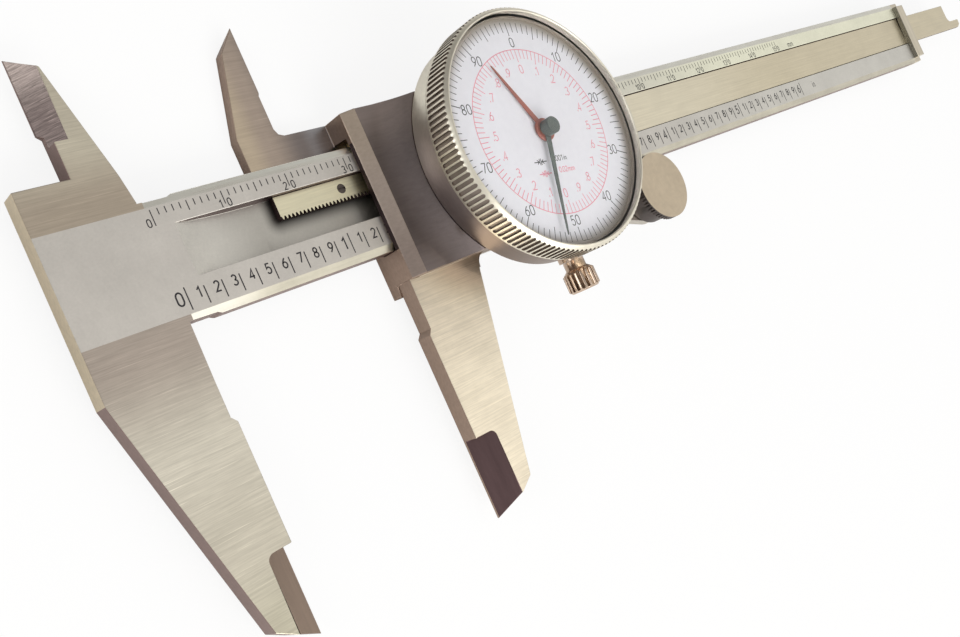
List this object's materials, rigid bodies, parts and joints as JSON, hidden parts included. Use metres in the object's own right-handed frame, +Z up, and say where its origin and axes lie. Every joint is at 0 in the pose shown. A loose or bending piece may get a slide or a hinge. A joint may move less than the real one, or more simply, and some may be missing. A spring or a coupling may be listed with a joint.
{
  "type": "dial caliper",
  "caption": "Dial caliper with outside and inside jaws, depth bar, engraved beam, round dial with two pointers, knurled bezel and thumb roller; slider, gears and pointers move together.",
  "frame": {"origin": "middle of the fixed outside jaw's measuring face, halfway through the beam's thickness and 20 mm below the beam's lower edge", "axes": "+X along the beam from the fixed jaw to the open end; +Y across the beam to the inside jaws; +Z up out of the dial, so the caliper lies on its back"},
  "size_m": [0.2606, 0.0773, 0.0194],
  "materials": {
    "beam_steel": "ground, satin front face",
    "slider_steel": "ground",
    "back_steel": "ground",
    "bar_steel": "ground along its length",
    "stop_steel": "ground",
    "roller_steel": "turned face, knurled rim",
    "rack_steel": "milled",
    "case_steel": "turned",
    "arbor_steel": "polished",
    "screw_steel": "turned",
    "spring_steel": "tempered wire",
    "bezel_chrome": "satin with bright edges",
    "gear_brass": "cut",
    "lock_brass": "turned, fluted",
    "dial_white": "matt print",
    "pointer_black": "satin",
    "pointer_red": "satin",
    "crystal_clear": "clear and polished"
  },
  "bodies": {
    "beam": {"beam": "beam_steel", "rack": "rack_steel", "rack_screws": "screw_steel", "end_stop": "stop_steel", "end_stop_screws": "screw_steel"},
    "slider": {"slider_body": "slider_steel", "gib": "gear_brass", "gib_screws": "screw_steel", "back_plate": "back_steel", "back_plate_screws": "screw_steel", "depth_bar": "bar_steel", "depth_bar_screws": "screw_steel", "dial_case": "case_steel", "case_screws": "screw_steel", "pinion_bush": "gear_brass", "centre_bush": "gear_brass", "movement_plate": "gear_brass", "movement_pillars": "gear_brass", "movement_screws": "screw_steel", "hairspring_stud": "gear_brass", "hairspring": "spring_steel", "bezel_spring": "spring_steel", "bezel_lock_collar": "lock_brass"},
    "rack_pinion": {"pinion_arbor": "arbor_steel", "inch_gear": "gear_brass", "mm_gear": "gear_brass"},
    "inch_hand": {"inch_arbor": "arbor_steel", "inch_pointer": "pointer_black"},
    "mm_hand": {"mm_tube": "arbor_steel", "mm_pointer": "pointer_red"},
    "take_up": {"take_up_gear": "gear_brass"},
    "roller": {"thumb_roller": "roller_steel", "roller_clip": "spring_steel"},
    "bezel": {"bezel": "bezel_chrome", "dial_plate": "dial_white", "spacer_ring": "bezel_chrome", "crystal": "crystal_clear"},
    "bezel_lock": {"bezel_lock_screw": "lock_brass"},
    "slide_lock": {"slide_lock_screw": "screw_steel"}
  },
  "joints": [
    {"name": "slider_slide", "type": "slide", "parent": "beam", "child": "slider", "axis": [1, 0, 0], "range_m": [-0.03183, 0.11817]},
    {"name": "pinion_spin", "type": "hinge", "parent": "slider", "child": "rack_pinion", "pos_m": [0.05085, 0.02751, 0.0015], "axis": [0, 0, 1], "range_deg": [-1140, 4200]},
    {"name": "inch_hand_spin", "type": "hinge", "parent": "slider", "child": "inch_hand", "pos_m": [0.05843, 0.028, 0.0015], "axis": [0, 0, 1], "range_deg": [-16760, 4530]},
    {"name": "mm_hand_spin", "type": "hinge", "parent": "slider", "child": "mm_hand", "pos_m": [0.05843, 0.028, 0.0015], "axis": [0, 0, 1], "range_deg": [-21290, 5740]},
    {"name": "take_up_spin", "type": "hinge", "parent": "slider", "child": "take_up", "pos_m": [0.06603, 0.028, 0.0015], "axis": [0, 0, 1], "range_deg": [-1140, 4200]},
    {"name": "roller_spin", "type": "hinge", "parent": "slider", "child": "roller", "pos_m": [0.09173, 0.01457, 0.0015], "axis": [0, 0, 1], "range_deg": [-350, 1260]},
    {"name": "bezel_turn", "type": "hinge", "parent": "slider", "child": "bezel", "pos_m": [0.05843, 0.028, 0.0015], "axis": [0, 0, 1], "continuous": true},
    {"name": "bezel_lock_turn", "type": "hinge", "parent": "slider", "child": "bezel_lock", "pos_m": [0.05843, 0.028, 0.0072], "axis": [0, -1, 0], "range_deg": [-45, 315]},
    {"name": "slide_lock_turn", "type": "hinge", "parent": "slider", "child": "slide_lock", "pos_m": [0.05843, 0.028, 0], "axis": [0, 1, 0], "range_deg": [-45, 315]}
  ],
  "couplings": [
    {"joint": "pinion_spin", "follows": "slider_slide", "rad_per_m": 618.42},
    {"joint": "inch_hand_spin", "follows": "slider_slide", "rad_per_m": -2473.7},
    {"joint": "mm_hand_spin", "follows": "slider_slide", "rad_per_m": -3141.6},
    {"joint": "take_up_spin", "follows": "slider_slide", "rad_per_m": 618.42},
    {"joint": "roller_spin", "follows": "slider_slide", "rad_per_m": 184.16}
  ]
}
